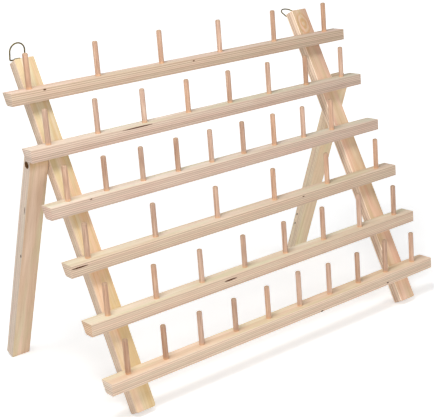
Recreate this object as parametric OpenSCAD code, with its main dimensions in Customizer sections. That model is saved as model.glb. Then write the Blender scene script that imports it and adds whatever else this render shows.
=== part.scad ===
// Folding wooden thread rack: two leaning rails carry six bars of spool pegs,
// two rear legs swing out on screws, and a ring at each rail's head hangs the rack on a wall.
// X runs along the bars, +Y is the rack's back and +Z is up.  Millimetres.
// The rack is drawn in the rails' own frame first: z up the rails from their feet,
// y back from the rails' front faces.  stand() then leans it back onto its four feet.

/* [Stock] */
// Thickness of the plywood that rails, legs and bars are cut from
stock_t = 18; // [15:0.5:21]

/* [Rails] */
// Length of each rail
rail_len = 520; // [505:1:560]
// Width of each rail, seen from the front
rail_w = 31.5; // [28:0.5:36]
// Radius of the eased corners at the rails' feet
rail_foot_r = 3; // [1:0.5:5]
// Radius of the eased corners at the rails' heads
rail_head_r = 1.5; // [0.5:0.5:4]

/* [Bars] */
// Length of each bar
bar_len = 641; // [560:1:720]
// Depth of a bar's top face, from front to back
bar_d = 26; // [24:0.5:30]
// Angle of the bevel at a bar's back, that sets its top nearly level
bar_bevel = 25.6; // [22:0.2:28]
// Distance from one bar to the next, along the rails
bar_pitch = 83; // [76:1:88]
// Height of the lowest bar's top back edge above the rails' feet, along the rails
bar_foot = 61; // [54:1:66]
// How far the bars run past the left rail
left_overhang = 34.8; // [33:0.2:40]
// How far the bars run past the right rail
right_overhang = 44.1; // [33:0.2:50]
// Radius of the rounded lower back edge of a bar
bar_round = 5; // [2:0.5:6]

/* [Pegs] */
// Diameter of a peg
peg_d = 8; // [5:0.25:9]
// Height of a peg above its bar
peg_h = 50.8; // [40:0.2:60]
// Depth of a peg's hole
peg_hole = 12; // [8:0.5:13]
// How much smaller in radius a peg's glued tenon is, so that a shoulder seats on the bar
peg_shoulder = 0.25; // [0.2:0.05:0.5]
// Distance from a bar's front edge to the pegs' axes
peg_front = 12; // [11:0.2:12.6]
// Distance from a bar's end to its first and last pegs' axes
peg_margin = 34.8; // [33:0.2:40]
// Chamfer at a peg's tip
peg_chamfer = 0.8; // [0.2:0.1:1.5]

/* [Rear legs] */
// Width of a rear leg
leg_w = 30; // [28:0.5:33]
// Angle between an opened leg and its rail
open_angle = 48.1; // [44:0.1:52]
// Distance of the left pivot below the second bar's top back edge, along the rail
pivot_drop = 22.5; // [18:0.5:26]
// How much higher the right leg's pivot sits than the left one's
right_raise = 8; // [0:0.5:10]
// How far short of the rail's foot the left leg stops when it is folded
leg_short = 21; // [10:1:60]
// Gap between a leg and the bars' backs, folded or opened
fold_gap = 0.3; // [0.2:0.1:0.8]
// Thickness of the washer between a leg and its rail
spacer_t = 0.8; // [0.6:0.1:1.6]

/* [Pivot screws] */
// Diameter of a pivot screw's shank
pivot_d = 5; // [4:0.25:6]
// Diameter of the sunk hole round a pivot screw's head
sink_d = 10.4; // [10.2:0.2:14]
// Depth of the sunk hole round a pivot screw's head
sink_depth = 9; // [6:0.5:10]
// Diameter of a pivot screw's head
pivot_head_d = 8.25; // [7.25:0.25:9.25]
// Height of a pivot screw's head
pivot_head_h = 3; // [2.5:0.25:3.5]
// How far a pivot screw bites into its rail
pivot_bite = 22; // [16:0.5:26]
// Diameter of the washer under a pivot screw's head
head_washer_d = 9.6; // [9.3:0.1:9.8]
// Thickness of the washer under a pivot screw's head
head_washer_t = 1; // [0.8:0.1:1.4]
// Diameter of the washer between a leg and its rail
spacer_d = 15; // [12:0.5:17]

/* [Bar screws] */
// Diameter of a bar screw's shank
bar_screw_d = 4; // [3:0.25:4.5]
// Diameter of a bar screw's countersunk head
bar_screw_head_d = 8; // [7:0.25:9]
// How far a bar screw bites into its bar
bar_screw_bite = 11; // [8:0.5:12]

/* [Hangers] */
// Diameter of a ring's wire
wire_d = 2.2; // [1.6:0.1:2.6]
// Radius of a ring's round end, at the middle of the wire
ring_r = 12; // [10:0.5:14]
// Length of a ring's straight sides
ring_side = 12.5; // [8:0.5:18]
// Height of the left ring's hinge above its rail's head
left_hinge_rise = 5; // [1.5:0.1:6]
// Depth of the right ring's hinge below its rail's head
right_hinge_drop = 4.5; // [4:0.5:12]
// How far the left ring leans back from its rail's line
left_ring_lean = -37; // [-60:1:90]
// How far the right ring leans back from its rail's line
right_ring_lean = 36; // [0:1:90]
// Width of a hanger strap
strap_w = 9; // [7:0.5:11]
// Thickness of a hanger strap
strap_t = 1; // [0.8:0.1:1.4]
// Length of a hanger strap below its ring's hinge
strap_len = 19; // [16:0.5:24]
// Diameter of a hanger screw's shank
hanger_screw_d = 3; // [2.5:0.25:3.5]
// Length of a hanger screw's shank
hanger_screw_len = 14; // [10:0.5:16]
// Diameter of a hanger screw's head
hanger_head_d = 6; // [5:0.25:7]
// Height of a hanger screw's head
hanger_head_h = 2; // [1.5:0.1:2.4]
// Height of a hanger screw's axis above its strap's lower end
strap_screw_up = 5.5; // [4:0.5:7]

/* [Hidden] */
$fn = 48;
// How far cuts run past the faces they open
eps = 0.01;
// Clearance at each radius round a turning screw or ring, and round a fixed screw or peg
run_fit = 0.05;
glue_fit = 0.04;
// Free depth past the point of a screw or the end of a peg, and play along a turning screw
point_gap = 1;
end_play = 0.1;
// Straight steps that stand for each rounded corner of a board
arc_steps = 6;
// Length, depth and width of a screw's crossed slots, as shares of its head's diameter
slot_span = 0.6;
slot_depth = 0.15;
slot_width = 0.13;
// How much narrower a hanger screw's head is at its top
head_taper = 0.6;

// Peg places on each bar, top bar first, and the places left bare as [bar, place]
PLACES = [6, 8, 10, 6, 8, 10];
BARE = [[3, 10]];
// Pegs that stand lower or higher than the rest: [bar, place, share of a peg's height]
UNEVEN = [[1, 6, -0.04], [2, 7, -0.04], [4, 3, -0.04], [5, 1, -0.06],
    [5, 6, 0.06], [5, 7, 0.1], [6, 6, 0.1], [6, 9, 0.08]];
bar_count = len(PLACES);

left_rail_x = -bar_len / 2 + left_overhang + rail_w / 2;
right_rail_x = bar_len / 2 - right_overhang - rail_w / 2;

function bar_z(i) = bar_foot + (bar_count - i) * bar_pitch;
bevel_face = stock_t / cos(bar_bevel);
bevel_run = stock_t * tan(bar_bevel);
// Bar screws enter at the middle of a bar's bevelled back
screw_drop = bevel_face / 2;

// Pivots lie one half thickness and one gap behind the bars' backs, so that the same gap
// is left whether the leg lies along the rail or its bevelled head meets the second bar
knuckle_r = stock_t / 2;
pivot_y = knuckle_r + fold_gap;
left_pivot_z = bar_z(2) - pivot_drop;
right_pivot_z = left_pivot_z + right_raise;
left_leg_len = left_pivot_z - leg_short;
// Distance from a rail's middle line to its leg's inner face
leg_off = rail_w / 2 + spacer_t;

// The left leg's front lower edge and the rail's back lower edge set how far the rack leans
foot_y = pivot_y - knuckle_r * cos(open_angle) + left_leg_len * sin(open_angle);
foot_z = left_pivot_z - knuckle_r * sin(open_angle) - left_leg_len * cos(open_angle);
rail_lean = atan2(foot_z, foot_y - stock_t);
leg_lean = open_angle - rail_lean;
// The right leg is longer by what its higher pivot needs to reach the same ground
right_leg_len = left_leg_len + right_raise * cos(rail_lean) / cos(leg_lean);

// Places in the rails' frame turned into the standing frame, before the last shift
function lean_y(y, z) = y * cos(rail_lean) + z * sin(rail_lean);
function lean_z(y, z) = z * cos(rail_lean) - y * sin(rail_lean);
bar_front_y = -bar_d * cos(bar_bevel) + stock_t * sin(bar_bevel);
bar_front_z = bar_z(bar_count) - bar_d * sin(bar_bevel) - stock_t * cos(bar_bevel);
front_y = min(0, lean_y(bar_front_y, bar_front_z));
function leg_back_y(pivot_z, length) = lean_y(pivot_y, pivot_z)
    + knuckle_r * cos(leg_lean) + length * sin(leg_lean);
back_y = max(leg_back_y(left_pivot_z, left_leg_len), leg_back_y(right_pivot_z, right_leg_len));
ground_z = lean_z(stock_t, 0);

strap_y = stock_t;
loop_r = wire_d / 2 + run_fit + strap_t;
hinge_y = strap_y + loop_r;
left_hinge_z = rail_len + left_hinge_rise;
right_hinge_z = rail_len - right_hinge_drop;
function hanger_screw_z(hinge_z) = hinge_z - strap_len + strap_screw_up;

function arc(c, r, a0, a1) = [for (k = [0:arc_steps])
    let (a = a0 + (a1 - a0) * k / arc_steps) [c[0] + r * cos(a), c[1] + r * sin(a)]];

echo(rail_lean=rail_lean, left_leg_len=left_leg_len, right_leg_len=right_leg_len);
echo(front_y=front_y, back_y=back_y, ground_z=ground_z);
echo(hinge_y=hinge_y, left_hinge_z=left_hinge_z, right_hinge_z=right_hinge_z);
echo(pivot_y=pivot_y, left_pivot_z=left_pivot_z, right_pivot_z=right_pivot_z);

module stand() {
    translate([0, -(front_y + back_y) / 2, -ground_z])
        rotate([-rail_lean, 0, 0])
            children();
}

// A solid of constant section along X, from a section drawn as [y, z] points
module along_x(x0, length, points) {
    translate([x0, 0, 0])
        rotate([90, 0, 90])
            linear_extrude(length)
                polygon(points);
}

module rod_x(x0, length, r) {
    translate([x0, 0, 0])
        rotate([0, 90, 0])
            cylinder(h=length, r=r);
}

// A rod that starts at y0 and runs forwards, towards -Y
module rod_forward(y0, length, r_start, r_end) {
    translate([0, y0, 0])
        rotate([90, 0, 0])
            cylinder(h=length, r1=r_start, r2=r_end);
}

// A hole cut from a side face at x, on the side that side names, inwards to a depth
module side_bore(x, side, depth, r) {
    translate([x + side * eps, 0, 0])
        rotate([0, side * -90, 0])
            cylinder(h=depth + eps, r=r);
}

// Crossed slots cut into a screw's head, centred, opening towards +Z
module cross_slots(head_d) {
    span = slot_span * head_d;
    depth = slot_depth * head_d;
    width = slot_width * head_d;
    for (a = [0, 90])
        rotate([0, 0, a])
            translate([-span / 2, -width / 2, -depth])
                cube([span, width, depth + eps]);
}

// Rails
module rail_outline() {
    half = rail_w / 2;
    polygon(concat(
        arc([-half + rail_foot_r, rail_foot_r], rail_foot_r, 180, 270),
        arc([half - rail_foot_r, rail_foot_r], rail_foot_r, 270, 360),
        arc([half - rail_head_r, rail_len - rail_head_r], rail_head_r, 0, 90),
        arc([-half + rail_head_r, rail_len - rail_head_r], rail_head_r, 90, 180)));
}

// One countersunk screw's form, its head flush with the rail's back.  Its hole is the same
// form wider by grow and deeper by past, and starts outside the rail by proud
module bar_screw_form(grow=0, past=0, proud=0) {
    head_r = bar_screw_head_d / 2 + grow;
    shank_r = bar_screw_d / 2 + grow;
    neck_y = stock_t - (head_r - shank_r);
    rod_forward(stock_t + proud, stock_t + proud - neck_y, head_r + proud, shank_r);
    rod_forward(neck_y + eps, neck_y + eps + bar_screw_bite + past, shank_r, shank_r);
}

module bar_screw_hole(x, i) {
    translate([x, 0, bar_z(i) - screw_drop])
        bar_screw_form(glue_fit, point_gap, eps);
}

// side is -1 for the left rail and 1 for the right one
module rail(x, side, pivot_z, hinge_z) {
    color("burlywood")
        stand()
            difference() {
                translate([x, stock_t, 0])
                    rotate([90, 0, 0])
                        linear_extrude(stock_t)
                            rail_outline();
                for (i = [1:bar_count])
                    bar_screw_hole(x, i);
                at_pivot(pivot_z)
                    side_bore(x + side * rail_w / 2, side, pivot_bite + point_gap, pivot_d / 2 + glue_fit);
                translate([x, 0, hanger_screw_z(hinge_z)])
                    rod_forward(stock_t + eps, hanger_screw_len + point_gap + eps,
                        hanger_screw_d / 2 + glue_fit, hanger_screw_d / 2 + glue_fit);
            }
}

// Bars and pegs
module at_bar(i) {
    translate([0, 0, bar_z(i)])
        rotate([bar_bevel, 0, 0])
            children();
}

// Section of a bar in its own frame: top face at z = 0, top back edge at the origin,
// and the back bevelled to lie on the rails
function bar_section() =
    let (corner = [-bevel_run, -stock_t],
         turn = 90 - bar_bevel,
         reach = bar_round * tan(turn / 2),
         c = [corner[0] - reach, corner[1] + bar_round])
    concat([[0, 0], [-bar_d, 0], [-bar_d, -stock_t]], arc(c, bar_round, 270, 270 + turn));

function peg_x(i, k) = -bar_len / 2 + peg_margin
    + (k - 1) * (bar_len - 2 * peg_margin) / (PLACES[i - 1] - 1);
function is_bare(i, k) = len([for (b = BARE) if (b == [i, k]) b]) > 0;
function extra_h(i, k) = [for (e = UNEVEN) if (e[0] == i && e[1] == k) e[2]];
function height_of(i, k) = peg_h * (len(extra_h(i, k)) > 0 ? 1 + extra_h(i, k)[0] : 1);
tenon_r = peg_d / 2 - peg_shoulder;

// Puts its child on a bar's top face at each peg's place, and gives it that peg's height
module at_pegs(i) {
    for (k = [1:PLACES[i - 1]])
        if (!is_bare(i, k))
            translate([peg_x(i, k), -bar_d + peg_front, 0]) {
                $peg_height = height_of(i, k);
                children();
            }
}

module bar(i) {
    color("wheat")
        stand()
            difference() {
                at_bar(i)
                    difference() {
                        along_x(-bar_len / 2, bar_len, bar_section());
                        at_pegs(i)
                            translate([0, 0, -peg_hole])
                                cylinder(h=peg_hole + eps, r=tenon_r + glue_fit);
                    }
                for (x = [left_rail_x, right_rail_x])
                    bar_screw_hole(x, i);
            }
}

// A peg with its shoulder on the bar's top face and its tenon below
module peg(height) {
    r = peg_d / 2;
    tenon_end = point_gap - peg_hole;
    rotate_extrude()
        polygon([[0, tenon_end], [tenon_r, tenon_end], [tenon_r, 0], [r, 0],
            [r, height - peg_chamfer], [r - peg_chamfer, height], [0, height]]);
}

module pegs(i) {
    color("lightsalmon")
        stand()
            at_bar(i)
                at_pegs(i)
                    peg($peg_height);
}

module bar_screws(x) {
    color("silver")
        stand()
            for (i = [1:bar_count])
                translate([x, 0, bar_z(i) - screw_drop])
                    difference() {
                        bar_screw_form();
                        translate([0, stock_t, 0])
                            rotate([-90, 0, 0])
                                cross_slots(bar_screw_head_d);
                    }
}

// Rear legs, drawn hanging straight down from the pivot and then swung back
function leg_section(length) =
    let (meet = [-knuckle_r * cos(open_angle), knuckle_r * sin(open_angle)],
         run = (knuckle_r - meet[0]) / sin(open_angle))
    concat([[-knuckle_r, -length]],
        arc([0, 0], knuckle_r, 180, 180 - open_angle),
        [[knuckle_r, meet[1] + run * cos(open_angle)], [knuckle_r, -length]]);

module at_pivot(pivot_z) {
    translate([0, pivot_y, pivot_z])
        children();
}

module rear_leg(x, side, pivot_z, length) {
    inner = x + side * leg_off;
    outer = inner + side * leg_w;
    color("tan")
        stand()
            at_pivot(pivot_z)
                difference() {
                    rotate([open_angle, 0, 0])
                        along_x(min(inner, outer), leg_w, leg_section(length));
                    side_bore(outer, side, leg_w + eps, pivot_d / 2 + run_fit);
                    side_bore(outer, side, sink_depth, sink_d / 2);
                }
}

// Place of a point that lies depth below a leg's outer face, for parts stacked on the pivot
function inside_leg(x, side, depth) = x + side * (leg_off + leg_w - depth);

module pivot_screw(x, side, pivot_z) {
    head_depth = sink_depth - head_washer_t - end_play;
    shank = leg_w - head_depth + spacer_t + pivot_bite;
    color("dimgray")
        stand()
            at_pivot(pivot_z)
                translate([inside_leg(x, side, head_depth), 0, 0])
                    rotate([0, side * 90, 0])
                        difference() {
                            union() {
                                translate([0, 0, -shank])
                                    cylinder(h=shank + eps, r=pivot_d / 2);
                                cylinder(h=pivot_head_h, r=pivot_head_d / 2);
                            }
                            translate([0, 0, pivot_head_h])
                                cross_slots(pivot_head_d);
                        }
}

module washer(d, t) {
    difference() {
        cylinder(h=t, r=d / 2);
        translate([0, 0, -eps])
            cylinder(h=t + 2 * eps, r=pivot_d / 2 + run_fit);
    }
}

module head_washer(x, side, pivot_z) {
    color("silver")
        stand()
            at_pivot(pivot_z)
                translate([inside_leg(x, side, sink_depth - end_play / 2), 0, 0])
                    rotate([0, side * 90, 0])
                        washer(head_washer_d, head_washer_t);
}

module spacer_washer(x, side, pivot_z) {
    color("silver")
        stand()
            at_pivot(pivot_z)
                translate([x + side * rail_w / 2, 0, 0])
                    rotate([0, side * 90, 0])
                        washer(spacer_d, spacer_t - end_play);
}

// Hangers: a strap folded double round the ring's hinge bar
module hanger_strap(x, hinge_z) {
    fold_t = 2 * strap_t;
    color("goldenrod")
        stand()
            difference() {
                union() {
                    translate([x - strap_w / 2, strap_y, hinge_z - strap_len])
                        cube([strap_w, fold_t, strap_len - loop_r / 2]);
                    translate([0, hinge_y, hinge_z])
                        rod_x(x - strap_w / 2, strap_w, loop_r);
                }
                translate([0, hinge_y, hinge_z])
                    rod_x(x - strap_w / 2 - eps, strap_w + 2 * eps, wire_d / 2 + run_fit);
                translate([x, 0, hanger_screw_z(hinge_z)])
                    rod_forward(strap_y + fold_t + eps, fold_t + 2 * eps,
                        hanger_screw_d / 2 + glue_fit, hanger_screw_d / 2 + glue_fit);
            }
}

module hanger_screw(x, hinge_z) {
    color("gold")
        stand()
            translate([x, strap_y + 2 * strap_t, hanger_screw_z(hinge_z)])
                difference() {
                    union() {
                        rod_forward(hanger_head_h, hanger_head_h,
                            hanger_head_d / 2 - head_taper, hanger_head_d / 2);
                        rod_forward(eps, hanger_screw_len + eps, hanger_screw_d / 2, hanger_screw_d / 2);
                    }
                    translate([0, hanger_head_h, 0])
                        rotate([-90, 0, 0])
                            cross_slots(hanger_head_d);
                }
}

// One D-shaped ring: a straight hinge bar, two sides and a round end, all of one wire
module ring(x, hinge_z, lean) {
    r = wire_d / 2;
    color("darkgoldenrod")
        stand()
            translate([x, hinge_y, hinge_z])
                rotate([-lean, 0, 0]) {
                    rod_x(-ring_r, 2 * ring_r, r);
                    for (s = [-1, 1]) {
                        translate([s * ring_r, 0, 0])
                            sphere(r=r);
                        translate([s * ring_r, 0, 0])
                            cylinder(h=ring_side, r=r);
                    }
                    translate([0, 0, ring_side])
                        rotate([90, 0, 0])
                            rotate_extrude(angle=180)
                                translate([ring_r, 0])
                                    circle(r=r);
                }
}

rail(left_rail_x, -1, left_pivot_z, left_hinge_z);  // left_rail
rail(right_rail_x, 1, right_pivot_z, right_hinge_z);  // right_rail
bar(1);  // bar_1
bar(2);  // bar_2
bar(3);  // bar_3
bar(4);  // bar_4
bar(5);  // bar_5
bar(6);  // bar_6
pegs(1);  // bar_1_pegs
pegs(2);  // bar_2_pegs
pegs(3);  // bar_3_pegs
pegs(4);  // bar_4_pegs
pegs(5);  // bar_5_pegs
pegs(6);  // bar_6_pegs
bar_screws(left_rail_x);  // left_bar_screws
bar_screws(right_rail_x);  // right_bar_screws
rear_leg(left_rail_x, -1, left_pivot_z, left_leg_len);  // left_rear_leg
rear_leg(right_rail_x, 1, right_pivot_z, right_leg_len);  // right_rear_leg
pivot_screw(left_rail_x, -1, left_pivot_z);  // left_pivot_screw
pivot_screw(right_rail_x, 1, right_pivot_z);  // right_pivot_screw
head_washer(left_rail_x, -1, left_pivot_z);  // left_head_washer
head_washer(right_rail_x, 1, right_pivot_z);  // right_head_washer
spacer_washer(left_rail_x, -1, left_pivot_z);  // left_spacer_washer
spacer_washer(right_rail_x, 1, right_pivot_z);  // right_spacer_washer
hanger_strap(left_rail_x, left_hinge_z);  // left_hanger_strap
hanger_strap(right_rail_x, right_hinge_z);  // right_hanger_strap
hanger_screw(left_rail_x, left_hinge_z);  // left_hanger_screw
hanger_screw(right_rail_x, right_hinge_z);  // right_hanger_screw
ring(left_rail_x, left_hinge_z, left_ring_lean);  // left_ring
ring(right_rail_x, right_hinge_z, right_ring_lean);  // right_ring
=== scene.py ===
"""Looks of a folding wooden thread rack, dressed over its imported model.

Plywood boards with eased edges, turned pegs, wood screws, washers and wire rings are modelled
in millimetres, each in the frame it is made in, and then put where it belongs on the rack."""

import math
import random
from contextlib import contextmanager

import bmesh
import bpy
from mathutils import Matrix, Vector


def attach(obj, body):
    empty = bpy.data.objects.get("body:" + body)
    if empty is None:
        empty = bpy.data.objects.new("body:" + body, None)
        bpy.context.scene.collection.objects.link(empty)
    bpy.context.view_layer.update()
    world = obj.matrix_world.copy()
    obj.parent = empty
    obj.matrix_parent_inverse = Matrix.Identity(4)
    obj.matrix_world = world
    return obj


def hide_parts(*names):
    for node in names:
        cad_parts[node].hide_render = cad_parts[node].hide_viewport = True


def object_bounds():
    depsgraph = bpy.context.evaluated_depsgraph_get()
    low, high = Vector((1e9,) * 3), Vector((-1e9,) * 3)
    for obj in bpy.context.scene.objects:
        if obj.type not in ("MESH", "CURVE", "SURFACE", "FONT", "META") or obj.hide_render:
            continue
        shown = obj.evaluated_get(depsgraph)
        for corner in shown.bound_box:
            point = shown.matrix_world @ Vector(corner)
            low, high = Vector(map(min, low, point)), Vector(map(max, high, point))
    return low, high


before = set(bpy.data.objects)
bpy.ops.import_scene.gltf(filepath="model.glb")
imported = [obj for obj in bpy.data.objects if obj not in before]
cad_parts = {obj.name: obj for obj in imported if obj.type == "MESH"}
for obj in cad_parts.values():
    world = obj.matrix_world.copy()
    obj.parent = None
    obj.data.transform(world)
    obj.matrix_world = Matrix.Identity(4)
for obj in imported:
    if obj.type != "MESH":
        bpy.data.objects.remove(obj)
cad_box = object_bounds()
rng = random.Random(11)

MM = 0.001
METRES = Matrix.Scale(MM, 4)
X, Y, Z = 0, 1, 2

# Boards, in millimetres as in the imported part
STOCK = 18.0
RAIL_LEN = 520.0
RAIL_W = 31.5
RAIL_FOOT_R = 3.0
RAIL_HEAD_R = 1.5
BAR_LEN = 641.0
BAR_D = 26.0
BAR_BEVEL = math.radians(25.6)
BAR_PITCH = 83.0
BAR_FOOT = 61.0
BAR_ROUND = 5.0
LEFT_OVERHANG = 34.8
RIGHT_OVERHANG = 44.1
LEFT_RAIL_X = -BAR_LEN / 2 + LEFT_OVERHANG + RAIL_W / 2
RIGHT_RAIL_X = BAR_LEN / 2 - RIGHT_OVERHANG - RAIL_W / 2

# Pegs: places on each bar, top bar first, the bare ones, and those that stand lower or higher
PEG_R = 4.0
PEG_H = 50.8
PEG_HOLE = 12.0
PEG_SHOULDER = 0.25
PEG_FRONT = 12.0
PEG_MARGIN = 34.8
PLACES = [6, 8, 10, 6, 8, 10]
BARE = {(3, 10)}
UNEVEN = {(1, 6): -0.04, (2, 7): -0.04, (4, 3): -0.04, (5, 1): -0.06,
          (5, 6): 0.06, (5, 7): 0.1, (6, 6): 0.1, (6, 9): 0.08}


def bar_z(i):
    return BAR_FOOT + (len(PLACES) - i) * BAR_PITCH


# Outline of a peg's tip: height below the top, and how much smaller its radius is there
PEG_TIP = [(2, 0), (1.2, 0.25), (0.5, 0.8), (0.1, 1.5), (0, 2.1)]
PEG_TIP_FACE_R = 0.6
# How far down from its top a peg counts as tip
PEG_TIP_DEPTH = 0.6

# Legs and their pivots
OPEN_ANGLE = math.radians(48.1)
LEG_W = 30.0
LEG_GAP = 0.8
KNUCKLE_R = STOCK / 2
FOLD_GAP = 0.3
PIVOT_Y = KNUCKLE_R + FOLD_GAP
LEFT_PIVOT_Z = bar_z(2) - 22.5
RIGHT_RAISE = 8.0
RIGHT_PIVOT_Z = LEFT_PIVOT_Z + RIGHT_RAISE
LEFT_LEG_LEN = LEFT_PIVOT_Z - 21.0
PIVOT_R = 2.5
SINK_R = 5.2
SINK_DEPTH = 9.0
HEAD_WASHER_R = 4.8
HEAD_WASHER_T = 1.0
SPACER_R = 7.5
END_PLAY = 0.1
RUN_FIT = 0.05
PIVOT_HEAD_R = 4.125
PIVOT_HEAD_H = 3.0
PIVOT_BITE = 22.0

# Bar screws
BAR_SCREW_R = 2.0
BAR_SCREW_HEAD_R = 4.0
BAR_SCREW_BITE = 11.0

# Hangers
WIRE_R = 1.1
RING_R = 12.0
RING_SIDE = 12.5
RING_BEND = 2.0
STRAP_W = 9.0
STRAP_T = 1.0
STRAP_LEN = 19.0
STRAP_SCREW_UP = 5.5
HINGE_Y = STOCK + STRAP_T + RUN_FIT + WIRE_R
LEFT_HINGE_Z = RAIL_LEN + 5.0
RIGHT_HINGE_Z = RAIL_LEN - 4.5
LEFT_RING_LEAN = math.radians(-37)
RIGHT_RING_LEAN = math.radians(36)
RING_BEND_STEPS = 8
RING_TOP_STEPS = 32
STRAP_LOOP_STEPS = 20
HANGER_HEAD_R = 3.0
HANGER_HEAD_H = 2.0
HANGER_SCREW_R = 1.5
HANGER_SCREW_LEN = 14.0

# The rails lean back until their feet and the legs' feet stand on one floor
FOOT_Y = PIVOT_Y - KNUCKLE_R * math.cos(OPEN_ANGLE) + LEFT_LEG_LEN * math.sin(OPEN_ANGLE)
FOOT_Z = LEFT_PIVOT_Z - KNUCKLE_R * math.sin(OPEN_ANGLE) - LEFT_LEG_LEN * math.cos(OPEN_ANGLE)
RAIL_LEAN = math.atan2(FOOT_Z, FOOT_Y - STOCK)
LEG_LEAN = OPEN_ANGLE - RAIL_LEAN
RIGHT_LEG_LEN = LEFT_LEG_LEN + RIGHT_RAISE * math.cos(RAIL_LEAN) / math.cos(LEG_LEAN)

# Each board's veneer and cut edge, as screen values: the lower bars are lighter, and the
# second, third and fifth are greyer than the rest
WOOD = {
    "bar_1": ((210, 190, 175), (200, 180, 160)),
    "bar_2": ((215, 205, 190), (205, 185, 170)),
    "bar_3": ((220, 210, 195), (210, 190, 175)),
    "bar_4": ((220, 205, 185), (210, 190, 170)),
    "bar_5": ((230, 220, 200), (220, 200, 180)),
    "bar_6": ((235, 215, 190), (220, 200, 180)),
    "left_rail": ((230, 205, 175), (220, 200, 180)),
    "right_rail": ((230, 200, 175), (250, 230, 210)),
    "left_leg": ((235, 215, 190), (225, 210, 195)),
    "right_leg": ((245, 230, 200), (240, 225, 200)),
}
# Voids and knots, and the painted shade on the walls of the pivots' holes
VOID = (84, 44, 12)
HOLE_SHADE = (128, 88, 46)
# Stains darken on the whole, so each colour is lifted and comes out at its own level
VENEER_LIFT = 1.14
EDGE_LIFT = 1.32

# How sawn ends are toned beside the long edges of the same board, bar by bar
BAR_ENDS = [(1.15, 1.2, 1.25), (1.15, 1.2, 1.25), (1.15, 1.1, 1.1), (1.1, 1.1, 1.1),
            (1.05, 0.95, 0.85), (1.05, 1.1, 1.15)]
RAIL_ENDS = (0.85, 0.83, 0.82)
# The legs' ends are darker end grain, and darker still as painted shade on each leg's top, which
# sits under the second bar.
LEG_ENDS_AND_SHADE = (0.56, 0.55, 0.54)

# What sets the rails' and the legs' plywood apart, in the words of plywood()
RAIL_FIGURE = {
    "left": {"patches": 1.4, "lines": 1.5, "band_tint": (0.92, 0.83, 0.66),
             "tint_and_painted_shade": (100, 480, (0.86, 0.93, 1.0))},
    "right": {"patches": 1.4, "lines": 3.0, "band_tint": (0.88, 0.82, 0.74),
              "tint_and_painted_shade": (320, 470, (0.83, 0.84, 0.83)), "swirls": [(493, 259, 17)]},
}
# On the legs the tint along the grain is painted shade: it darkens each leg's head, from just
# below its pivot upwards, where the second bar shades it.
LEG_FIGURE = {"patches": 1.2, "tint_and_painted_shade": (-10, 5, (0.75, 0.68, 0.56)),
              # painted shade: the walls of each leg's pivot hole are darkened
              "painted_hole_shade": (SINK_R, KNUCKLE_R)}

# Voids and knots seen in the boards: along the grain, across it, depth, length, width
BAR_FRONT = -BAR_D
BAR_MARKS = {
    1: [(-268, BAR_FRONT, 2.5, 5, 2.5), (-5, BAR_FRONT, 3.5, 4, 2)],
    2: [(-143, BAR_FRONT, 2, 56, 2)],
    3: [(-256, BAR_FRONT, 2.5, 4, 2)],
    4: [(-307, BAR_FRONT, 5, 27, 2.5), (107, BAR_FRONT, 4.5, 5, 2)],
    5: [(-79, BAR_FRONT, 6, 25, 2.5)],
    6: [(214, BAR_FRONT, 13.5, 5, 2.5), (66, BAR_FRONT, 16.5, 6, 2.5)],
}
LEFT_LEG_OUTSIDE = LEFT_RAIL_X - RAIL_W / 2 - LEG_GAP - LEG_W
RIGHT_LEG_INSIDE = RIGHT_RAIL_X + RAIL_W / 2 + LEG_GAP
LEG_MARKS = {
    "left": [(-154, LEFT_LEG_OUTSIDE, 2.5, 6, 3), (-74, LEFT_LEG_OUTSIDE, 4, 15, 1.5)],
    "right": [(-290, RIGHT_LEG_INSIDE, 13, 5, 2.5), (-270, RIGHT_LEG_INSIDE, 13.5, 5, 2.5)],
}

# Plies of a board, and how far its edges are eased
PLY_COUNT = 13
EASE = 0.6

# Seeds of the boards' figure; bar i has BAR_SEED + i
BAR_SEED = 20
RAIL_SEEDS = {"left": 3, "right": 4}
LEG_SEEDS = {"left": 5, "right": 6}


def turn_x(angle):
    return Matrix.Rotation(angle, 4, "X")


def shift(x, y, z):
    return Matrix.Translation((x, y, z))


STAND = shift(0, cad_box[0].y / MM, STOCK * math.sin(RAIL_LEAN)) @ turn_x(-RAIL_LEAN)


def bar_frame(i):
    """A bar's own frame: origin on its top back edge, top face level, front towards -Y."""
    return STAND @ shift(0, 0, bar_z(i)) @ turn_x(BAR_BEVEL)


def leg_frame(pivot_z):
    """A leg's own frame: origin on its pivot, leg hanging down along -Z."""
    return STAND @ shift(0, PIVOT_Y, pivot_z) @ turn_x(OPEN_ANGLE)


def ring_frame(x, hinge_z, lean):
    return STAND @ shift(x, HINGE_Y, hinge_z) @ turn_x(-lean)


# Camera

CAMERA_AT = (-1.0044, -1.27796, 0.73396)
CAMERA_TURN = (73.3842, 2.9759, -38.9927)
LENS_MM = 90.284
SHIFT_Y = -0.0772


def make_camera():
    data = bpy.data.cameras.new("camera")
    data.lens = LENS_MM
    data.sensor_width = 36
    data.shift_y = SHIFT_Y
    camera = bpy.data.objects.new("camera", data)
    camera.location = CAMERA_AT
    camera.rotation_euler = [math.radians(a) for a in CAMERA_TURN]
    bpy.context.scene.collection.objects.link(camera)
    bpy.context.scene.camera = camera
    bpy.context.scene.view_settings.view_transform = "Standard"


# Modelling by hand

def pick_only(obj):
    bpy.ops.object.select_all(action="DESELECT")
    obj.select_set(True)
    bpy.context.view_layer.objects.active = obj


def named(name):
    obj = bpy.context.object
    obj.name = name
    obj.data.name = name
    return obj


def put(obj, matrix):
    """Moves a piece by a matrix and leaves the place in its mesh."""
    obj.matrix_world = matrix
    pick_only(obj)
    bpy.ops.object.transform_apply(location=True, rotation=True, scale=True)
    return obj


def twin(obj, matrix):
    copy = obj.copy()
    copy.data = obj.data.copy()
    bpy.context.scene.collection.objects.link(copy)
    return put(copy, matrix)


def remove(obj):
    bpy.data.objects.remove(obj, do_unlink=True)


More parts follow.
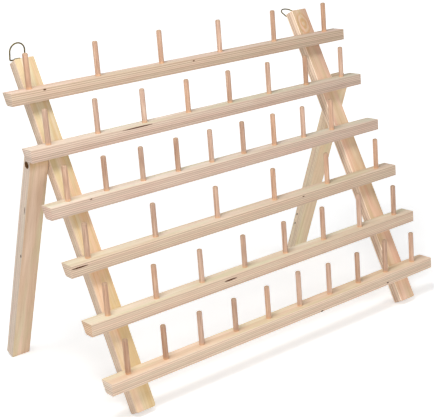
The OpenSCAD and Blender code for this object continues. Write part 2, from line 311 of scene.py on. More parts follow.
def joined(pieces, name):
    bpy.ops.object.select_all(action="DESELECT")
    for piece in pieces:
        piece.select_set(True)
    bpy.context.view_layer.objects.active = pieces[0]
    bpy.ops.object.join()
    return named(name)


@contextmanager
def editing(obj, kind):
    """Edit mode with nothing selected yet; kind is VERT, EDGE or FACE."""
    pick_only(obj)
    bpy.ops.object.mode_set(mode="EDIT")
    bpy.ops.mesh.select_mode(type=kind)
    bpy.ops.mesh.select_all(action="DESELECT")
    yield bmesh.from_edit_mesh(obj.data)
    bpy.ops.object.mode_set(mode="OBJECT")


def select_edges(obj, mesh, test):
    """Selects the edges whose two end points pass the test."""
    for edge in mesh.edges:
        if test(edge.verts[0].co, edge.verts[1].co):
            edge.select_set(True)
    bmesh.update_edit_mesh(obj.data)


def near(a, b):
    return abs(a - b) < 1e-3


def modify(obj, kind, **settings):
    pick_only(obj)
    modifier = obj.modifiers.new(kind, kind)
    for key, value in settings.items():
        setattr(modifier, key, value)
    bpy.ops.object.modifier_apply(modifier=modifier.name)


def cut(obj, cutter):
    modify(obj, "BOOLEAN", operation="DIFFERENCE", solver="EXACT", object=cutter)
    remove(cutter)


def ease(obj, width, segments=2):
    modify(obj, "BEVEL", width=width, segments=segments, limit_method="ANGLE",
           angle_limit=math.radians(30))


def shade(obj, angle=30):
    pick_only(obj)
    bpy.ops.object.shade_smooth_by_angle(angle=math.radians(angle))


def block(name, low, high):
    low, high = Vector(low), Vector(high)
    bpy.ops.mesh.primitive_cube_add(size=1, location=(low + high) / 2)
    obj = named(name)
    obj.scale = high - low
    bpy.ops.object.transform_apply(location=True, rotation=True, scale=True)
    return obj


def turned(name, rings, sides=32):
    """A solid turned about Z; rings lists (height, radius) from its lower to its upper end."""
    bpy.ops.mesh.primitive_circle_add(vertices=sides, radius=rings[0][1], fill_type="NGON",
                                      location=(0, 0, rings[0][0]))
    obj = named(name)
    bpy.ops.object.transform_apply(location=True, rotation=True, scale=True)
    with editing(obj, "FACE"):
        bpy.ops.mesh.select_all(action="SELECT")
        for (z0, r0), (z1, r1) in zip(rings, rings[1:]):
            bpy.ops.mesh.extrude_region_move(TRANSFORM_OT_translate={"value": (0, 0, z1 - z0)})
            bpy.ops.transform.resize(value=(r1 / r0, r1 / r0, 1), center_override=(0, 0, z1))
        bpy.ops.mesh.select_all(action="SELECT")
        bpy.ops.mesh.normals_make_consistent(inside=False)
    return obj


# Materials

def rgb(red, green, blue):
    """A colour as its screen values, 0 to 255, turned into the shader's linear values."""
    def linear(c):
        c /= 255
        return c / 12.92 if c <= 0.04045 else ((c + 0.055) / 1.055) ** 2.4
    return (linear(red), linear(green), linear(blue), 1)


class Finish:
    """One material's node tree, built step by step; each step returns the socket it makes."""

    def __init__(self, name, **fixed):
        self.material = bpy.data.materials.new(name)
        self.material.use_nodes = True
        self.tree = self.material.node_tree
        self.shader = self.tree.nodes["Principled BSDF"]
        for key, value in fixed.items():
            self.shader.inputs[key.replace("_", " ")].default_value = value

    def node(self, kind, values=(), out=0, **settings):
        made = self.tree.nodes.new("ShaderNode" + kind)
        for key, value in settings.items():
            setattr(made, key, value)
        for key, value in dict(values).items():
            self.feed(made.inputs[key], value)
        return made.outputs[out]

    def feed(self, socket, value):
        if isinstance(value, bpy.types.NodeSocket):
            self.tree.links.new(value, socket)
        else:
            socket.default_value = value

    def math(self, operation, *values):
        return self.node("Math", enumerate(values), operation=operation)

    def vector(self, operation, *values):
        return self.node("VectorMath", enumerate(values), operation=operation)

    def parts(self, vector):
        """The three parts of a vector, as sockets."""
        split = self.tree.nodes.new("ShaderNodeSeparateXYZ")
        self.feed(split.inputs[0], vector)
        return split.outputs

    def distance(self, first, second):
        """How far away a point is whose distances along two axes are given."""
        return self.math("SQRT", self.math("ADD", self.math("MULTIPLY", first, first),
                                           self.math("MULTIPLY", second, second)))

    def noise(self, place, detail=3.0, rough=0.5, distort=0.0):
        return self.node("TexNoise", {"Vector": place, "Scale": 1.0, "Detail": detail,
                                      "Roughness": rough, "Distortion": distort})

    def mix(self, share, first, second, blend="MIX"):
        made = self.tree.nodes.new("ShaderNodeMix")
        made.data_type = "RGBA"
        made.blend_type = blend
        for socket, value in zip((made.inputs[0], made.inputs[6], made.inputs[7]),
                                 (share, first, second)):
            self.feed(socket, value)
        return made.outputs[2]

    def stain(self, share, colour, tint):
        """Multiplies a colour by a tint, fully where share is 1 and not at all where it is 0."""
        return self.mix(share, colour, (*tint, 1), "MULTIPLY")

    def span(self, value, low, high, to_low=0.0, to_high=1.0):
        """Maps low..high smoothly to to_low..to_high."""
        return self.node("MapRange", {"Value": value, "From Min": low, "From Max": high,
                                      "To Min": to_low, "To Max": to_high},
                         interpolation_type="SMOOTHSTEP")

    def ramp(self, value, *stops):
        made = self.tree.nodes.new("ShaderNodeValToRGB")
        marks = made.color_ramp.elements
        while len(marks) < len(stops):
            marks.new(0.5)
        for mark, (position, colour) in zip(marks, stops):
            mark.position = position
            mark.color = colour
        self.feed(made.inputs[0], value)
        return made.outputs[0]

    def finish(self, colour, rough, height=None, depth=0.0001, strength=0.5):
        self.feed(self.shader.inputs["Base Color"], colour)
        self.feed(self.shader.inputs["Roughness"], rough)
        if height is not None:
            bump = self.node("Bump", {"Height": height, "Distance": depth, "Strength": strength})
            self.feed(self.shader.inputs["Normal"], bump)
        return self.material


class Board:
    """A board's frame and which of its axes is the grain, the width and the stack of plies."""

    def __init__(self, frame_mm, grain, width, stack, stack_from):
        self.frame = frame_mm
        self.grain, self.width, self.stack = grain, width, stack
        self.stack_from = stack_from


class Timber:
    """Where a point lies in a board, in millimetres, and which way the board's surface faces."""

    def __init__(self, f, board, seed):
        self.f = f
        turn = board.frame.to_3x3().transposed()
        euler = turn.to_euler()
        home = -(turn @ board.frame.translation)
        local = f.node("Mapping", {"Vector": f.node("TexCoord", out=3), "Location": home,
                                   "Rotation": euler, "Scale": (1 / MM,) * 3})
        axes = f.parts(local)
        self.along, self.across = axes[board.grain], axes[board.width]
        self.stack = f.math("ABSOLUTE", f.math("SUBTRACT", axes[board.stack], board.stack_from))
        place = f.node("CombineXYZ", {X: self.along, Y: self.across, Z: self.stack})
        self.place = f.vector("ADD", place, (seed * 137.0, seed * 61.0, seed * 29.0))

        facing = f.parts(f.node("Mapping", {"Vector": f.node("TexCoord", out=1),
                                            "Rotation": euler}, vector_type="VECTOR"))
        self.at_end = f.math("GREATER_THAN", f.math("ABSOLUTE", facing[board.grain]), 0.7)
        self.broad = f.math("GREATER_THAN", f.math("ABSOLUTE", facing[board.stack]), 0.7)

    def noise(self, scale, **settings):
        """Noise scaled along the grain, across the board and through its plies."""
        return self.f.noise(self.f.vector("MULTIPLY", self.place, scale), **settings)


def stronger(tint, power):
    return tuple(value ** power for value in tint)


def edge_wood(f, timber, colour, seed, lines, ends, streaks):
    """Cut edges, ply by ply, long grain streaked and end grain porous, and the glue lines."""
    drift = timber.noise((0.012, 0.05, 0.05), detail=2)
    depth = f.math("ADD", timber.stack, f.math("MULTIPLY", f.math("SUBTRACT", drift, 0.5), 0.7))
    depth = f.math("MINIMUM", f.math("MAXIMUM", depth, 0.02), STOCK - 0.02)
    plies = f.math("MULTIPLY", depth, PLY_COUNT / STOCK)
    ply = f.math("FLOOR", plies)
    part = f.math("FRACT", plies)
    crosswise = f.math("MODULO", ply, 2.0)
    end_grain = f.math("ABSOLUTE", f.math("SUBTRACT", crosswise, timber.at_end))
    tone = f.node("TexWhiteNoise", {"W": f.math("ADD", ply, seed * 17.0)}, noise_dimensions="1D")
    hue = f.node("TexWhiteNoise", {"W": f.math("ADD", ply, seed * 23.0)}, noise_dimensions="1D")
    glue = f.math("MAXIMUM", f.span(part, 0.0, 0.14, 1.0, 0.0), f.span(part, 0.86, 1.0, 0.0, 1.0))

    pores = timber.noise((1.6, 1.6, 1.6), detail=3, rough=0.7)
    clouds = timber.noise((0.02, 0.12, 0.16), detail=2)
    edge = f.stain(end_grain, colour, (0.8, 0.76, 0.74))
    edge = f.stain(f.span(tone, 0.5, 0.75), edge, stronger((0.87, 0.85, 0.83), lines))
    edge = f.stain(hue, edge, (0.97, 1.0, 0.98))
    edge = f.stain(f.span(clouds, 0.35, 0.65), edge, (1.0, 0.95, 0.95))
    edge = f.stain(f.span(streaks, 0.3, 0.7, 0.5, 0.0), edge, (0.86, 0.82, 0.78))
    edge = f.stain(f.math("MULTIPLY", end_grain, f.span(pores, 0.3, 0.7)), edge, (0.94, 0.92, 0.9))
    edge = f.stain(timber.at_end, edge, ends)
    edge = f.stain(glue, edge, (0.84, 0.79, 0.74))
    return f.mix(1.0, edge, (EDGE_LIFT,) * 3 + (1,), "MULTIPLY"), glue


def veneer_wood(f, timber, colour, patches, band_tint, tint_and_painted_shade, swirls, fibre):
    """Veneer: broad pale and tan bands, pinkish and greyish clouds, fibres and short flecks."""
    figure = timber.noise((0.0035, 0.085, 0.02), detail=4, rough=0.55, distort=0.6)
    blush = timber.noise((0.006, 0.05, 0.03), detail=2)
    flecks = timber.noise((0.12, 2.2, 0.5), detail=2)
    veneer = f.stain(f.span(figure, 0.35, 0.65, 1.0, 0.0), colour, band_tint)
    veneer = f.stain(f.span(blush, 0.4, 0.6), veneer, stronger((0.93, 0.96, 0.91), patches))
    veneer = f.stain(f.span(blush, 0.4, 0.6, 1.0, 0.0), veneer,
                     stronger((1.0, 0.95, 0.97), patches))
    veneer = f.stain(f.span(fibre, 0.38, 0.72, 0.0, 0.8), veneer, (0.88, 0.83, 0.77))
    veneer = f.stain(f.span(flecks, 0.62, 0.72, 0.0, 0.5), veneer, (0.8, 0.72, 0.62))
    # The tint along the grain; on the legs it is painted shade under the second bar.
    if tint_and_painted_shade:
        start, end, tint = tint_and_painted_shade
        veneer = f.stain(f.span(timber.along, start, end), veneer, tint)
    for swirl in swirls:
        veneer = f.stain(swirl_mask(f, timber, swirl), veneer, (0.9, 0.77, 0.6))
    return f.mix(1.0, veneer, (VENEER_LIFT,) * 3 + (1,), "MULTIPLY")


def plywood(name, board, seed, ends, marks=(), patches=1.0, lines=1.0,
            band_tint=(0.87, 0.82, 0.74), tint_and_painted_shade=None, swirls=(), painted_hole_shade=None):
    """Birch plywood: veneer on the broad faces, plies on the edges, long and end grain by turns.

    ends says how the sawn ends are toned beside the long edges, and lines how clearly the plies
    show. marks lists dark voids and knots as (along, across, stack, length, width).
    band_tint stains the veneer's darker bands, and patches says how strongly it is clouded.
    The tint along the grain is (start, end, tint): between those two places along the grain
    the veneer takes on the tint; on the legs this is painted shade under the second bar.
    swirls lists (along, across, reach) of rings in the veneer where a knot was near. The
    painted hole shade is (radius, stack) of a hole through the board's width whose wall is
    darkened as painted shade.
    """
    face, cut_edge = (rgb(*colour) for colour in WOOD[name])
    f = Finish(name + "_plywood", Specular_IOR_Level=0.25)
    timber = Timber(f, board, seed)
    streaks = timber.noise((0.03, 1.1, 1.1), detail=4, rough=0.6)
    fibre = timber.noise((0.02, 0.9, 0.4), detail=5, rough=0.65)
    edge, glue = edge_wood(f, timber, cut_edge, seed, lines, ends, streaks)
    veneer = veneer_wood(f, timber, face, patches, band_tint, tint_and_painted_shade, swirls, fibre)
    colour = f.mix(timber.broad, edge, veneer)

    # Painted shade: the wall of the hole is darkened where shade falls in it
    if painted_hole_shade:
        radius, centre = painted_hole_shade
        away = f.distance(timber.along, f.math("SUBTRACT", timber.stack, centre))
        hole_shade_share = f.span(away, radius, radius + 0.3, 0.9, 0.0)
        colour = f.mix(hole_shade_share, colour, rgb(*HOLE_SHADE))
    dark = 0.0
    for place in marks:
        dark = f.math("MAXIMUM", dark, mark_mask(f, timber, place))
    colour = f.mix(dark, colour, rgb(*VOID))

    rough = f.span(streaks, 0.2, 0.8, 0.5, 0.72)
    height = f.math("SUBTRACT", f.math("MULTIPLY", fibre, 0.6), f.math("MULTIPLY", glue, 0.3))
    height = f.math("SUBTRACT", height, f.math("MULTIPLY", dark, 2.0))
    return f.finish(colour, rough, height, depth=0.00012, strength=0.6)


def swirl_mask(f, timber, swirl):
    """Uneven rings round a spot, longer along the grain and fading outwards, 0 to 1."""
    centre_along, centre_across, reach = swirl
    bent = timber.noise((0.05, 0.1, 0.1), detail=2)
    run = f.math("DIVIDE", f.math("SUBTRACT", timber.along, centre_along), 1.6)
    away = f.distance(run, f.math("SUBTRACT", timber.across, centre_across))
    rings = f.math("SINE", f.math("ADD", f.math("MULTIPLY", away, 0.9),
                                  f.math("MULTIPLY", bent, 8.0)))
    return f.math("MULTIPLY", f.span(rings, -0.5, 0.9), f.span(away, reach / 2, reach, 1, 0))


def mark_mask(f, timber, place):
    """1 inside a long thin mark with ragged edges, 0 outside it."""
    along, across, stack, length, width = place
    ragged = timber.noise((0.25, 0.9, 0.9), detail=3)
    total = 0.0
    for socket, centre, reach in zip((timber.along, timber.across, timber.stack),
                                     (along, across, stack), (length, width, width)):
        away = f.math("DIVIDE", f.math("SUBTRACT", socket, centre), reach / 2)
        total = f.math("ADD", total, f.math("MULTIPLY", away, away))
    return f.span(f.math("ADD", total, ragged), 1.2, 1.6, 1.0, 0.0)


def peg_wood():
    """A smooth pinkish dowel, its grain upright, with painted reflected light at its foot, and
    greyer at its tip.
    """
    f = Finish("peg_wood", Specular_IOR_Level=0.3)
    place = f.vector("MULTIPLY", f.node("TexCoord", out=3), (1 / MM,) * 3)
    tone = f.node("Attribute", out=2, attribute_name="tone")
    hue = f.node("Attribute", out=2, attribute_name="hue")
    height = f.node("Attribute", out=2, attribute_name="height")
    tip = f.node("Attribute", out=2, attribute_name="tip")
    grain = f.noise(f.vector("MULTIPLY", place, (0.9, 0.9, 0.02)), detail=3, rough=0.5)
    blotches = f.noise(f.vector("MULTIPLY", place, (0.3, 0.3, 0.02)), detail=1)
    colour = f.ramp(grain, (0.32, rgb(195, 161, 142)), (0.5, rgb(217, 184, 163)),
                    (0.68, rgb(234, 207, 187)))
    colour = f.stain(tone, colour, (0.78, 0.74, 0.7))
    colour = f.stain(hue, colour, (1.0, 0.9, 0.79))
    colour = f.stain(f.span(blotches, 0.4, 0.65), colour, (0.87, 0.84, 0.83))
    # Painted reflected light: each peg's foot is lightened where light bounces up off the bar's
    # top.
    painted_foot_glow = f.span(height, 0.5, 5.0, 0.55, 0.0)
    colour = f.mix(painted_foot_glow, colour, rgb(234, 188, 144))
    aged = f.math("MAXIMUM", f.math("MULTIPLY", tip, 0.7),
                  f.span(height, PEG_H - 6, PEG_H, 0, 0.45))
    pores = f.noise(f.vector("MULTIPLY", place, (2.0, 2.0, 2.0)), detail=3)
    worn = f.ramp(pores, (0.35, rgb(140, 118, 92)), (0.65, rgb(184, 156, 128)))
    colour = f.mix(aged, colour, worn)
    return f.finish(colour, f.span(grain, 0.2, 0.8, 0.42, 0.6), grain, 0.00006, 0.5)


def metal(name, pale, dull, pale_rough, dull_rough):
    """Plain metal, pale where it is handled and duller in patches, with fine scratches."""
    f = Finish(name, Metallic=1.0)
    place = f.vector("MULTIPLY", f.node("TexCoord", out=3), (1 / MM,) * 3)
    patches = f.noise(f.vector("MULTIPLY", place, (0.25, 0.25, 0.25)), detail=3)
    scratches = f.noise(f.vector("MULTIPLY", place, (3.0, 0.6, 3.0)), detail=4, rough=0.7)
    colour = f.ramp(patches, (0.35, dull), (0.65, pale))
    colour = f.mix(f.span(scratches, 0.5, 0.8, 0.0, 0.3), colour, dull)
    rough = f.span(patches, 0.3, 0.7, dull_rough, pale_rough)
    return f.finish(colour, rough, scratches, 0.00003, 0.4)


# Boards

def wear(obj, material, body, slot, *nodes):
    """Gives a finished piece its material and body, and hides the nodes that it stands for; slot
    is not used.
    """
    obj.data.materials.clear()
    obj.data.materials.append(material)
    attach(obj, body)
    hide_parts(*nodes)
    return obj


def bar_screw_rings(grow=0.0, past=0.0, proud=0.0):
    """A countersunk screw from its point up to its head; its hole is wider, deeper and proud."""
    shank, head = BAR_SCREW_R + grow, BAR_SCREW_HEAD_R + grow
    neck = -(BAR_SCREW_HEAD_R - BAR_SCREW_R)
    point = -(STOCK + BAR_SCREW_BITE + past)
    return [(point, 0.3), (point + 3, shank), (neck, shank), (0, head), (proud, head + proud)]


def back_of_rail(x, z):
    """Where a screw's head lies in a rail's back, its shank running forwards."""
    return shift(x, STOCK, z) @ turn_x(-math.pi / 2)


def screw_z(i):
    return bar_z(i) - STOCK / math.cos(BAR_BEVEL) / 2


def make_rail(side, x):
    """One rail with its screw holes."""
    half = RAIL_W / 2
    rail = block(side + "_rail_board", (x - half, 0, 0), (x + half, STOCK, RAIL_LEN))
    for level, radius in ((0, RAIL_FOOT_R), (RAIL_LEN, RAIL_HEAD_R)):
        with editing(rail, "EDGE") as mesh:
            select_edges(rail, mesh, lambda a, b: near(a.z, level) and near(b.z, level)
                         and near(a.x, b.x))
            bpy.ops.mesh.bevel(offset=radius, segments=5, affect="EDGES")
    ease(rail, EASE)
    hole = turned("screw_hole", bar_screw_rings(0.04, 1, 0.5))
    holes = [twin(hole, back_of_rail(x, screw_z(i))) for i in range(1, len(PLACES) + 1)]
    remove(hole)
    cut(rail, joined(holes, "screw_holes"))
    shade(rail)
    put(rail, METRES @ STAND)
    board = Board(STAND, grain=Z, width=X, stack=Y, stack_from=0.0)
    wood = plywood(side + "_rail", board, RAIL_SEEDS[side], RAIL_ENDS, **RAIL_FIGURE[side])
    wear(rail, wood, "frame", "rail_plywood", side + "_rail")


def peg_x(i, k):
    return -BAR_LEN / 2 + PEG_MARGIN + (k - 1) * (BAR_LEN - 2 * PEG_MARGIN) / (PLACES[i - 1] - 1)


def peg_places(i):
    return [k for k in range(1, PLACES[i - 1] + 1) if (i, k) not in BARE]


def make_bar(i):
    half = BAR_LEN / 2
    bar = block(f"bar_{i}_board", (-half, -BAR_D, -STOCK), (half, 0, 0))
    with editing(bar, "FACE"):
        bpy.ops.mesh.select_all(action="SELECT")
        bpy.ops.mesh.bisect(plane_co=(0, 0, 0), use_fill=True, clear_outer=True,
                            plane_no=(0, math.cos(BAR_BEVEL), -math.sin(BAR_BEVEL)))
    corner = -STOCK * math.tan(BAR_BEVEL)
    reach = BAR_ROUND * math.tan((math.pi / 2 - BAR_BEVEL) / 2)
    with editing(bar, "EDGE") as mesh:
        select_edges(bar, mesh, lambda a, b: all(near(p.y, corner) and near(p.z, -STOCK)
                                                 for p in (a, b)))
        bpy.ops.mesh.bevel(offset=reach, segments=6, affect="EDGES")
    ease(bar, EASE)
    drill = turned("peg_hole", [(-PEG_HOLE, PEG_R - PEG_SHOULDER), (1, PEG_R - PEG_SHOULDER)], 24)
    drills = [twin(drill, shift(peg_x(i, k), PEG_FRONT - BAR_D, 0)) for k in peg_places(i)]
    remove(drill)
    cut(bar, joined(drills, "peg_holes"))
    shade(bar)
    put(bar, METRES @ bar_frame(i))
    board = Board(bar_frame(i), grain=X, width=Y, stack=Z, stack_from=0.0)
    wood = plywood(f"bar_{i}", board, BAR_SEED + i, BAR_ENDS[i - 1], BAR_MARKS[i])
    wear(bar, wood, "frame", "bar_plywood", f"bar_{i}")


def store(obj, name, values):
    obj.data.attributes.new(name, "FLOAT", "POINT").data.foreach_set("value", values)


def make_peg():
    """One peg with its shoulder at zero, its tenon below and a softly broken tip."""
    tenon = PEG_R - PEG_SHOULDER
    rings = [(1 - PEG_HOLE, tenon - 0.4), (1.4 - PEG_HOLE, tenon), (0, tenon), (0, PEG_R),
             (5, PEG_R), (PEG_H - 6, PEG_R)]
    rings += [(PEG_H - below, PEG_R - less) for below, less in PEG_TIP]
    rings.append((PEG_H, PEG_TIP_FACE_R))
    peg = turned("peg", rings, 24)
    shade(peg, 40)
    heights = [v.co.z for v in peg.data.vertices]
    store(peg, "height", heights)
    store(peg, "tip", [1.0 if z > PEG_H - PEG_TIP_DEPTH else 0.0 for z in heights])
    return peg


def stretch(peg, extra):
    """Makes a peg stand higher, or lower, by moving its upper end."""
    with editing(peg, "VERT") as mesh:
        for vert in mesh.verts:
            vert.select_set(vert.co.z > PEG_H / 2)
        bmesh.update_edit_mesh(peg.data)
        bpy.ops.transform.translate(value=(0, 0, extra))


def make_pegs(i, material):
    first = make_peg()
    row = []
    for k in peg_places(i):
        spin = Matrix.Rotation(rng.uniform(0, 2 * math.pi), 4, "Z")
        peg = twin(first, spin)
        if (i, k) in UNEVEN:
            stretch(peg, PEG_H * UNEVEN[(i, k)])
        for name in ("tone", "hue"):
            store(peg, name, [rng.random()] * len(peg.data.vertices))
        row.append(put(peg, bar_frame(i) @ shift(peg_x(i, k), PEG_FRONT - BAR_D, 0)))
    remove(first)
    pegs = put(joined(row, f"bar_{i}_peg_row"), METRES)
    wear(pegs, material, "frame", "peg_wood", f"bar_{i}_pegs")


def side_frame(x, sign):
    """A frame on a side face at x whose +Z points outwards, sign being -1 left and 1 right."""
    return shift(x, 0, 0) @ Matrix.Rotation(sign * math.pi / 2, 4, "Y")


def make_leg(side, sign, x, pivot_z, length):
    inner = x + sign * (RAIL_W / 2 + LEG_GAP)
    outer = inner + sign * LEG_W
    leg = block(side + "_leg_board", (min(inner, outer), -KNUCKLE_R, -length),
                (max(inner, outer), KNUCKLE_R, LEG_W))
    meet = (0, -KNUCKLE_R * math.cos(OPEN_ANGLE), KNUCKLE_R * math.sin(OPEN_ANGLE))
    with editing(leg, "FACE"):
        bpy.ops.mesh.select_all(action="SELECT")
        bpy.ops.mesh.bisect(plane_co=meet, use_fill=True, clear_outer=True,
                            plane_no=(0, -math.cos(OPEN_ANGLE), math.sin(OPEN_ANGLE)))
    with editing(leg, "EDGE") as mesh:
        select_edges(leg, mesh, lambda a, b: near(a.y, -KNUCKLE_R) and near(b.y, -KNUCKLE_R)
                     and a.z > 0 and b.z > 0)
        bpy.ops.mesh.bevel(offset=KNUCKLE_R * math.tan(OPEN_ANGLE / 2), segments=8,
                           affect="EDGES")
    ease(leg, EASE)
    bore = [(-LEG_W - 1, PIVOT_R + RUN_FIT), (-SINK_DEPTH, PIVOT_R + RUN_FIT),
            (-SINK_DEPTH, SINK_R), (1, SINK_R)]
    cut(leg, put(turned("pivot_hole", bore, 48), side_frame(outer, sign)))
    shade(leg)
    put(leg, METRES @ leg_frame(pivot_z))
    board = Board(leg_frame(pivot_z), grain=Z, width=X, stack=Y, stack_from=-KNUCKLE_R)
    wood = plywood(side + "_leg", board, LEG_SEEDS[side], LEG_ENDS_AND_SHADE, LEG_MARKS[side],
                   **LEG_FIGURE)
    wear(leg, wood, side + "_leg", "leg_plywood", side + "_rear_leg")


# Screws and washers

def crossed(screw, head_r, top):
    """Cuts a cross recess into a screw's head."""
    span, width, depth = head_r * 1.2, head_r * 0.26, head_r * 0.3
    for size_x, size_y in ((span, width), (width, span)):
        slot = block("recess", (-size_x / 2, -size_y / 2, top - depth),
                     (size_x / 2, size_y / 2, top + 1))
        cut(screw, slot)
    shade(screw)
    return screw


def make_bar_screws(side, x, material):
    first = crossed(turned("bar_screw", bar_screw_rings()), BAR_SCREW_HEAD_R, 0)
    row = [twin(first, STAND @ back_of_rail(x, screw_z(i))) for i in range(1, len(PLACES) + 1)]
    remove(first)
    screws = put(joined(row, side + "_rail_screws"), METRES)
    wear(screws, material, "frame", "zinc_steel", side + "_bar_screws")


def make_washer(name, outer_r, thick, place, material, node):
    lip = thick * 0.25
    washer = turned(name, [(0, outer_r - lip), (lip, outer_r), (thick - lip, outer_r),
                           (thick, outer_r - lip)], 48)
    cut(washer, turned("washer_hole", [(-1, PIVOT_R + RUN_FIT), (thick + 1, PIVOT_R + RUN_FIT)]))
    shade(washer)
    put(washer, METRES @ STAND @ place)
    wear(washer, material, "frame", "zinc_steel", node)


def make_pivot(side, sign, x, pivot_z, yellow, zinc):
    """One leg's pivot: its pan-headed screw, the washer under the head and the spacer."""
    face = x + sign * RAIL_W / 2
    outer = face + sign * (LEG_GAP + LEG_W)
    head_depth = SINK_DEPTH - HEAD_WASHER_T - END_PLAY
    shank = LEG_W - head_depth + LEG_GAP + PIVOT_BITE
    rings = [(-shank, 0.6), (3 - shank, PIVOT_R), (0, PIVOT_R), (0, PIVOT_HEAD_R),
             (PIVOT_HEAD_H * 0.55, PIVOT_HEAD_R), (PIVOT_HEAD_H * 0.85, PIVOT_HEAD_R * 0.85),
             (PIVOT_HEAD_H, PIVOT_HEAD_R * 0.6)]
    screw = crossed(turned(side + "_leg_screw", rings), PIVOT_HEAD_R, PIVOT_HEAD_H)
    axis = shift(0, PIVOT_Y, pivot_z)
    put(screw, METRES @ STAND @ axis @ side_frame(outer - sign * head_depth, sign))
    wear(screw, yellow, "frame", "zinc_steel", side + "_pivot_screw")
    under_head = outer - sign * (SINK_DEPTH - END_PLAY / 2)
    make_washer(side + "_sunk_washer", HEAD_WASHER_R, HEAD_WASHER_T,
                axis @ side_frame(under_head, sign), yellow, side + "_head_washer")
    make_washer(side + "_leg_spacer", SPACER_R, LEG_GAP - END_PLAY,
                axis @ side_frame(face, sign), zinc, side + "_spacer_washer")


# Hangers

def make_strap(side, x, hinge_z, brass):
    """A strip of brass folded double round the ring's hinge bar."""
    loop_r = HINGE_Y - STOCK - STRAP_T / 2
    back_y = STOCK + 1.5 * STRAP_T
    bpy.ops.mesh.primitive_plane_add(size=1, rotation=(math.pi / 2, 0, 0))
    strap = named(side + "_folded_strap")
    strap.scale = (STRAP_W, STRAP_LEN, 1)
    strap.location = (0, STOCK + STRAP_T / 2, -STRAP_LEN / 2)
    bpy.ops.object.transform_apply(location=True, rotation=True, scale=True)
    past_under = math.acos((HINGE_Y - back_y) / loop_r)
    under_z = -loop_r * math.sin(past_under)
    with editing(strap, "EDGE") as mesh:
        select_edges(strap, mesh, lambda a, b: near(a.z, 0) and near(b.z, 0))
        bpy.ops.mesh.spin(steps=STRAP_LOOP_STEPS, angle=2 * math.pi - past_under,
                          center=(0, HINGE_Y, 0), axis=(1, 0, 0))
        bpy.ops.mesh.extrude_region_move(
            TRANSFORM_OT_translate={"value": (0, 0, -STRAP_LEN - under_z)})
        bpy.ops.mesh.select_all(action="SELECT")
        bpy.ops.mesh.remove_doubles(threshold=0.001)
        bpy.ops.mesh.normals_make_consistent(inside=False)
    modify(strap, "SOLIDIFY", thickness=STRAP_T, offset=0)
    ease(strap, 0.15, 1)
    shade(strap)
    put(strap, METRES @ STAND @ shift(x, 0, hinge_z))
    wear(strap, brass, "frame", "brass", side + "_hanger_strap")


def make_hanger_screw(side, x, hinge_z, brass):
    high, wide = HANGER_HEAD_H, HANGER_HEAD_R
    rings = [(-HANGER_SCREW_LEN, 0.3), (3 - HANGER_SCREW_LEN, HANGER_SCREW_R),
             (0, HANGER_SCREW_R), (0, wide), (high * 0.25, wide), (high * 0.65, wide * 0.86),
             (high * 0.9, wide * 0.6), (high, wide * 0.3)]
    screw = crossed(turned(side + "_strap_screw", rings), wide, high)
    place = shift(x, STOCK + 2 * STRAP_T, hinge_z - STRAP_LEN + STRAP_SCREW_UP)
    put(screw, METRES @ STAND @ place @ turn_x(-math.pi / 2))
    wear(screw, brass, "frame", "brass", side + "_hanger_screw")


def make_ring(side, x, hinge_z, lean, brass):
    """One D of wire: out along the hinge bar, up, round the top and back down."""
    bend, out = RING_BEND, RING_R - RING_BEND
    bpy.ops.mesh.primitive_circle_add(vertices=20, radius=WIRE_R, rotation=(0, math.pi / 2, 0))
    ring = named(side + "_wire_ring")
    bpy.ops.object.transform_apply(location=True, rotation=True, scale=True)

    def straight(dx, dz):
        bpy.ops.mesh.extrude_region_move(TRANSFORM_OT_translate={"value": (dx, 0, dz)})

    def curve(angle, centre_x, centre_z, steps):
        bpy.ops.mesh.spin(steps=steps, angle=angle, center=(centre_x, 0, centre_z),
                          axis=(0, 1, 0))

    with editing(ring, "EDGE"):
        bpy.ops.mesh.select_all(action="SELECT")
        straight(out, 0)
        curve(math.pi / 2, out, bend, RING_BEND_STEPS)
        straight(0, RING_SIDE - bend)
        curve(math.pi, 0, RING_SIDE, RING_TOP_STEPS)
        straight(0, bend - RING_SIDE)
        curve(math.pi / 2, -out, bend, RING_BEND_STEPS)
        straight(out, 0)
        bpy.ops.mesh.select_all(action="SELECT")
        bpy.ops.mesh.remove_doubles(threshold=0.01)
        bpy.ops.mesh.normals_make_consistent(inside=False)
    shade(ring, 60)
    put(ring, METRES @ ring_frame(x, hinge_z, lean))
    wear(ring, brass, side + "_hanging_ring", "brass", side + "_ring")


# Floor and lights, in metres

FLOOR_SIZE = 12
# The floor's glow, seen by the camera and in reflections, rises between these distances
GLOW_RISES = (0.45, 1.6)
FLOOR_GLOW = 0.47
FAR_GLOW = 0.8
SKY_LEVEL = 0.37
MIDDLE = (0, 0, 0.25)
# Square lamps aimed at the rack's middle: name, place, size, power in watts
LAMPS = [
    ("upper_left", (-0.5, -0.28, 1.35), 0.45, 10.7),
    ("low_left", (-3.6, -2.4, 0.7), 1.6, 37),
    ("front_right", (1.8, -3.4, 0.8), 1.6, 29),
]


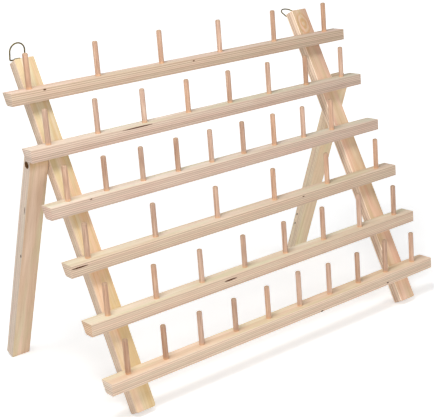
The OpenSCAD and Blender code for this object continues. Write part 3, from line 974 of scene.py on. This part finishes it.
def make_floor():
    bpy.ops.object.select_all(action="DESELECT")
    bpy.ops.mesh.primitive_plane_add(size=FLOOR_SIZE)
    floor = named("studio_floor")
    f = Finish("pale_floor", Specular_IOR_Level=0.1, Emission_Color=(1, 1, 1, 1))
    cloudy = f.noise(f.node("TexCoord", out=3), detail=2)
    paper = f.ramp(cloudy, (0.3, (0.86, 0.86, 0.86, 1)), (0.7, (0.88, 0.88, 0.88, 1)))
    rays = f.node("LightPath").node.outputs
    seen = f.math("MAXIMUM", rays["Is Camera Ray"], rays["Is Glossy Ray"])
    seen = f.math("MAXIMUM", seen, rays["Is Transmission Ray"])
    away = f.node("VectorMath", {0: f.node("TexCoord", out=3)}, out=1, operation="LENGTH")
    glow = f.span(away, *GLOW_RISES, FLOOR_GLOW, FAR_GLOW)
    f.feed(f.shader.inputs["Emission Strength"], f.math("MULTIPLY", seen, glow))
    floor.data.materials.append(f.finish(paper, 0.9))


def make_sky():
    """White to the eye and in reflections, and a plain even light on everything else."""
    world = bpy.data.worlds.new("studio")
    world.use_nodes = True
    bpy.context.scene.world = world
    nodes, links = world.node_tree.nodes, world.node_tree.links
    rays = nodes.new("ShaderNodeLightPath")
    seen = nodes.new("ShaderNodeMath")
    seen.operation = "MAXIMUM"
    clear = nodes.new("ShaderNodeMath")
    clear.operation = "MAXIMUM"
    links.new(rays.outputs["Is Camera Ray"], seen.inputs[0])
    links.new(rays.outputs["Is Glossy Ray"], seen.inputs[1])
    links.new(seen.outputs[0], clear.inputs[0])
    links.new(rays.outputs["Is Transmission Ray"], clear.inputs[1])
    level = nodes.new("ShaderNodeMapRange")
    links.new(clear.outputs[0], level.inputs["Value"])
    level.inputs["To Min"].default_value = SKY_LEVEL
    level.inputs["To Max"].default_value = 1.0
    background = nodes["Background"]
    background.inputs["Color"].default_value = (1, 1, 1, 1)
    links.new(level.outputs["Result"], background.inputs["Strength"])


def make_lamp(name, place, size, power):
    data = bpy.data.lights.new(name, "AREA")
    data.size = size
    data.energy = power
    lamp = bpy.data.objects.new(name, data)
    lamp.location = place
    lamp.rotation_euler = (Vector(MIDDLE) - Vector(place)).to_track_quat("-Z", "Y").to_euler()
    bpy.context.scene.collection.objects.link(lamp)


def build():
    make_camera()
    make_rail("left", LEFT_RAIL_X)
    make_rail("right", RIGHT_RAIL_X)
    pegs = peg_wood()
    for i in range(1, len(PLACES) + 1):
        make_bar(i)
        make_pegs(i, pegs)
    make_leg("left", -1, LEFT_RAIL_X, LEFT_PIVOT_Z, LEFT_LEG_LEN)
    make_leg("right", 1, RIGHT_RAIL_X, RIGHT_PIVOT_Z, RIGHT_LEG_LEN)
    brass = metal("aged_brass", rgb(120, 106, 56), rgb(72, 63, 34), 0.25, 0.42)
    zinc = metal("zinc_plate", rgb(190, 190, 196), rgb(150, 150, 156), 0.28, 0.45)
    yellow = metal("yellow_zinc", rgb(150, 118, 62), rgb(92, 68, 34), 0.3, 0.5)
    for side, sign, x, pivot_z, hinge_z, lean in (
            ("left", -1, LEFT_RAIL_X, LEFT_PIVOT_Z, LEFT_HINGE_Z, LEFT_RING_LEAN),
            ("right", 1, RIGHT_RAIL_X, RIGHT_PIVOT_Z, RIGHT_HINGE_Z, RIGHT_RING_LEAN)):
        make_bar_screws(side, x, zinc)
        make_pivot(side, sign, x, pivot_z, yellow, zinc)
        make_strap(side, x, hinge_z, brass)
        make_hanger_screw(side, x, hinge_z, brass)
        make_ring(side, x, hinge_z, lean, brass)
    make_floor()
    make_sky()
    for lamp in LAMPS:
        make_lamp(*lamp)


build()
bpy.context.view_layer.update()
